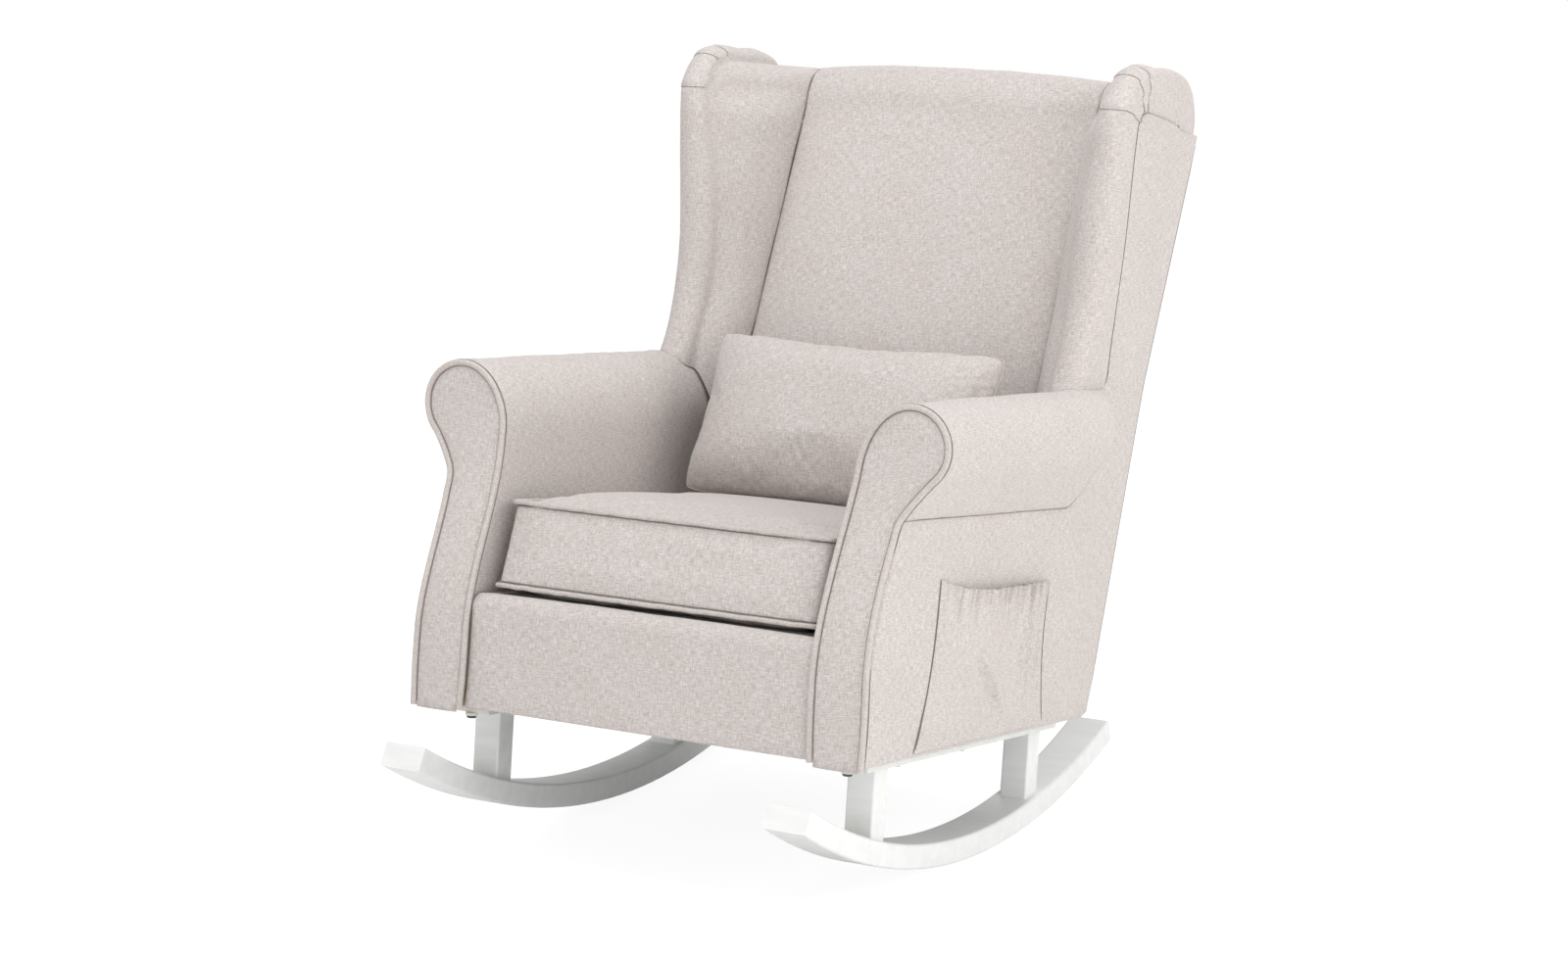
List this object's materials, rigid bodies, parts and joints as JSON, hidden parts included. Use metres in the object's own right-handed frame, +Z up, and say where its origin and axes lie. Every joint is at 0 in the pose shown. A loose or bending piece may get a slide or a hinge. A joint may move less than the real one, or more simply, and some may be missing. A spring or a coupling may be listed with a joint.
{
  "type": "wing back rocking chair",
  "caption": "Upholstered wing back nursing rocker with rolled arms, loose seat cushion, small pillow and side pocket on painted curved rockers.",
  "frame": {"origin": "on the floor, under the middle of the chair's overall depth and width; the rockers stand on Z = 0", "axes": "+Z up, -Y the way the sitter faces, +X the side with the pocket (the sitter's left hand)"},
  "size_m": [0.7464, 1.0855, 0.9874],
  "materials": {
    "upholstery": "heathered linen weave, cream with a greyish pink cast",
    "piping": "the same linen, cut on the bias around a cord",
    "deck_cloth": "linen over the seat deck",
    "cushion_cover": "heathered linen weave",
    "pillow_cover": "heathered linen weave",
    "pocket_cloth": "heathered linen weave, single layer",
    "painted_wood": "white satin paint",
    "frame_wood": "plain sawn wood, hidden",
    "dark_cloth": "black non-woven cloth and webbing",
    "steel": "plain steel"
  },
  "bodies": {
    "chair": {"rocker_left": "painted_wood", "rocker_right": "painted_wood", "front_leg_left": "painted_wood", "front_leg_right": "painted_wood", "rear_leg_left": "painted_wood", "rear_leg_right": "painted_wood", "leg_screws": "steel", "mounting_rail_left": "painted_wood", "mounting_rail_right": "painted_wood", "rail_bolts": "steel", "sole_board_left": "frame_wood", "sole_board_right": "frame_wood", "front_seat_rail": "frame_wood", "rear_seat_rail": "frame_wood", "side_seat_rails": "frame_wood", "seat_springs": "steel", "spring_clips": "steel", "seat_deck": "deck_cloth", "dust_cover": "dark_cloth", "arm_board_left": "frame_wood", "arm_board_right": "frame_wood", "roll_former_left": "frame_wood", "roll_former_right": "frame_wood", "wing_board_left": "frame_wood", "wing_board_right": "frame_wood", "back_post_left": "frame_wood", "back_post_right": "frame_wood", "back_top_rail": "frame_wood", "back_lower_rail": "frame_wood", "back_webbing": "dark_cloth", "arm_left": "upholstery", "arm_right": "upholstery", "arm_front_left": "upholstery", "arm_front_right": "upholstery", "arm_piping_left": "piping", "arm_piping_right": "piping", "front_apron": "upholstery", "side_panel_left": "upholstery", "side_panel_right": "upholstery", "rear_panel": "upholstery", "back_pad": "upholstery", "wing_left": "upholstery", "wing_right": "upholstery", "side_pocket": "pocket_cloth", "pocket_elastic": "pocket_cloth"},
    "cushion": {"seat_cushion": "cushion_cover", "cushion_piping": "piping"},
    "pillow": {"lumbar_pillow": "pillow_cover"}
  },
  "joints": [
    {"name": "cushion_pull_out", "type": "slide", "parent": "chair", "child": "cushion", "axis": [0, -0.9763, 0.2164], "range_m": [0, 0.55]},
    {"name": "pillow_lift_off", "type": "slide", "parent": "chair", "child": "pillow", "axis": [0, -0.5, 0.866], "range_m": [0, 0.4]}
  ]
}
